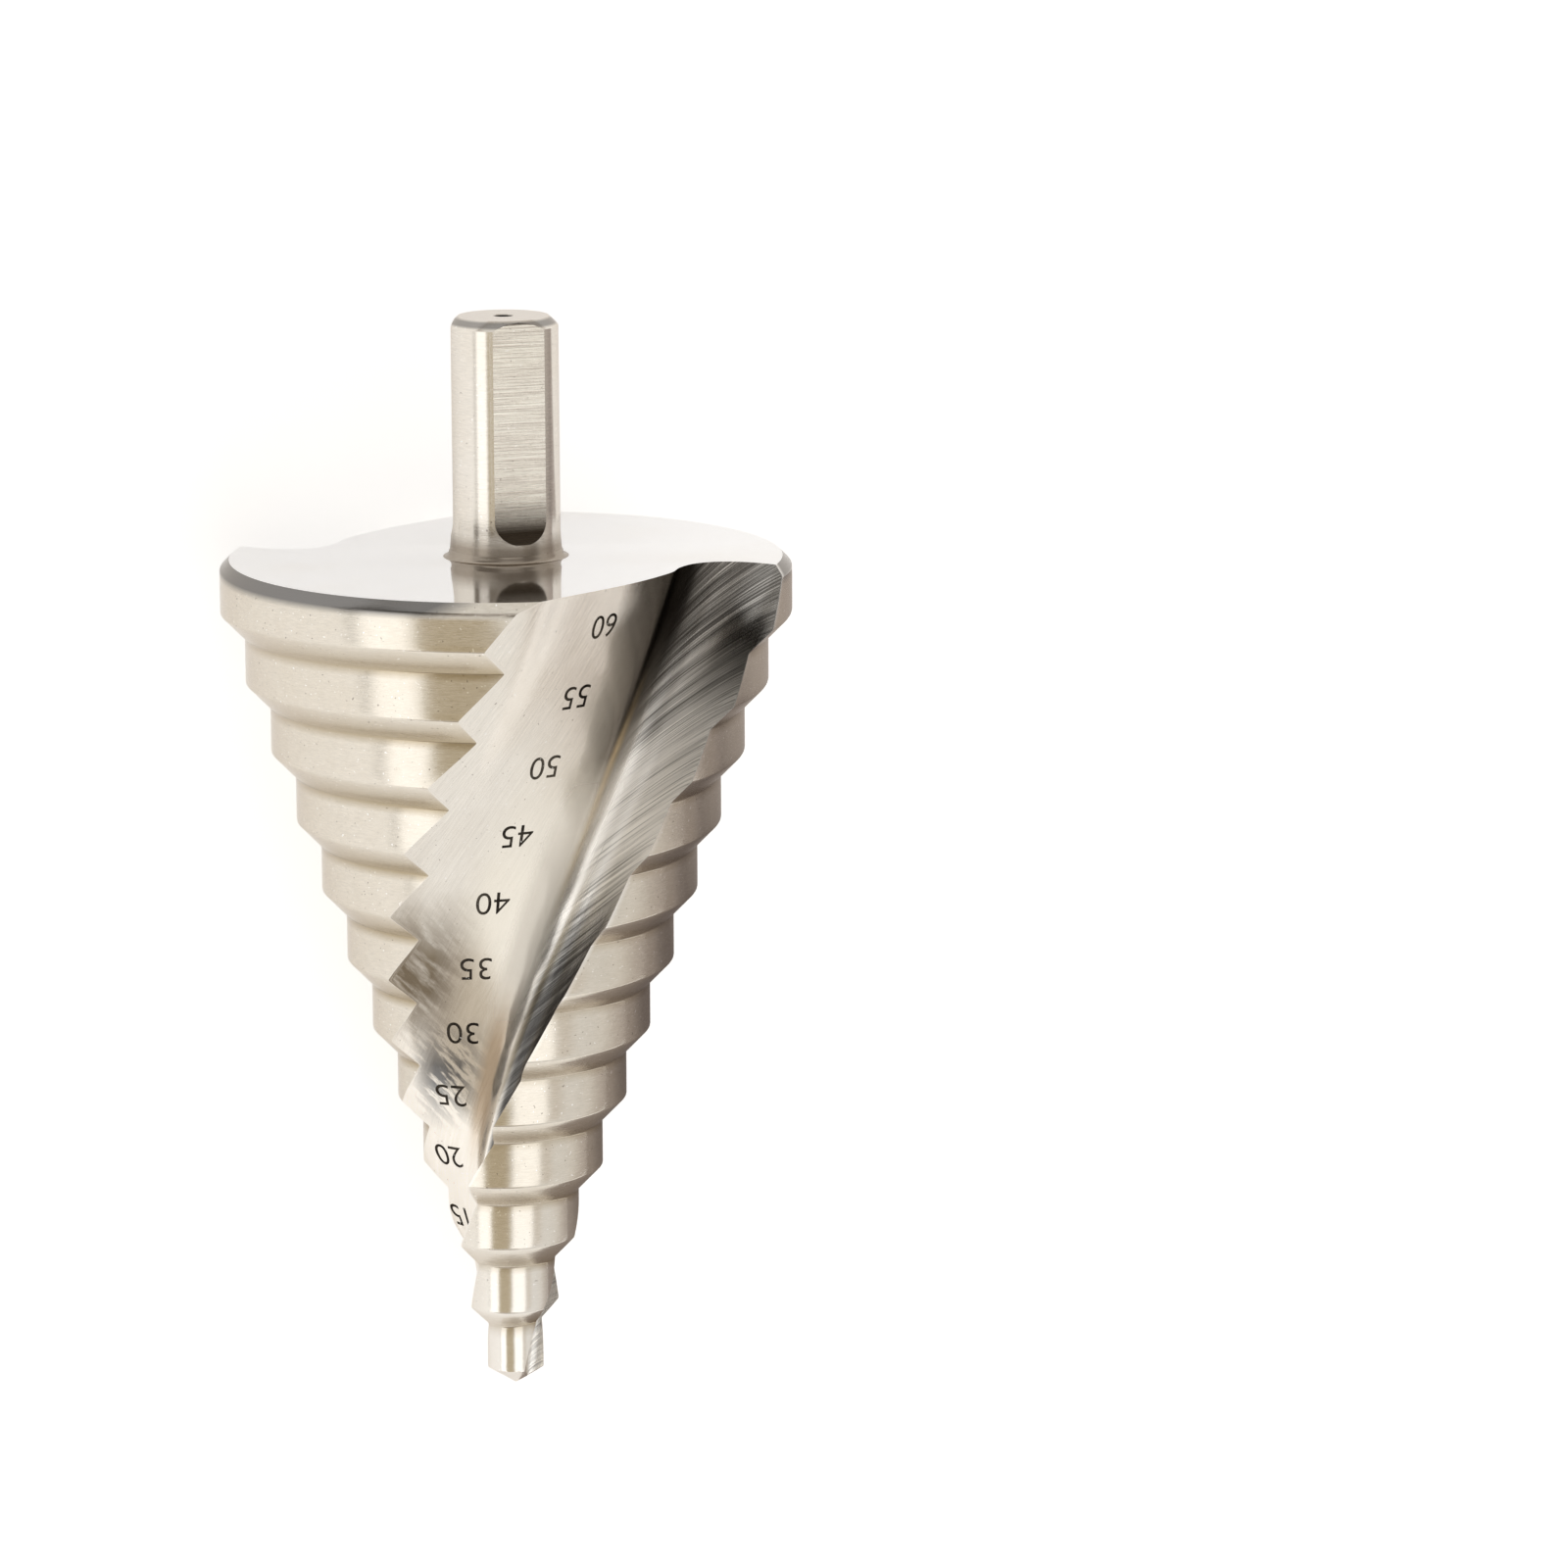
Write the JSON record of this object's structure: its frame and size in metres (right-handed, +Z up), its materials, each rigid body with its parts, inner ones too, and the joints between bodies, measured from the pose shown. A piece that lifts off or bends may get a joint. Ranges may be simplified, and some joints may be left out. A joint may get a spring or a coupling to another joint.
{
  "type": "step drill bit",
  "caption": "Large steel step drill bit with a pilot point, growing steps, two deep helical flutes and a three-flat shank, lying on its side.",
  "frame": {"origin": "bottom centre of the whole drill's box, lying on its side", "axes": "+Z up; the shank points along +Y and the tip along -Y. The drill's axis rises 12.6 degrees towards the shank, because the widest steps hold that end up"},
  "size_m": [0.0598, 0.1138, 0.0541],
  "materials": {
    "steel": "satin ground high-speed steel with a warm tint, and thin dark laser marks for the hole sizes"
  },
  "bodies": {
    "root": {"step_drill": "steel"}
  },
  "joints": []
}
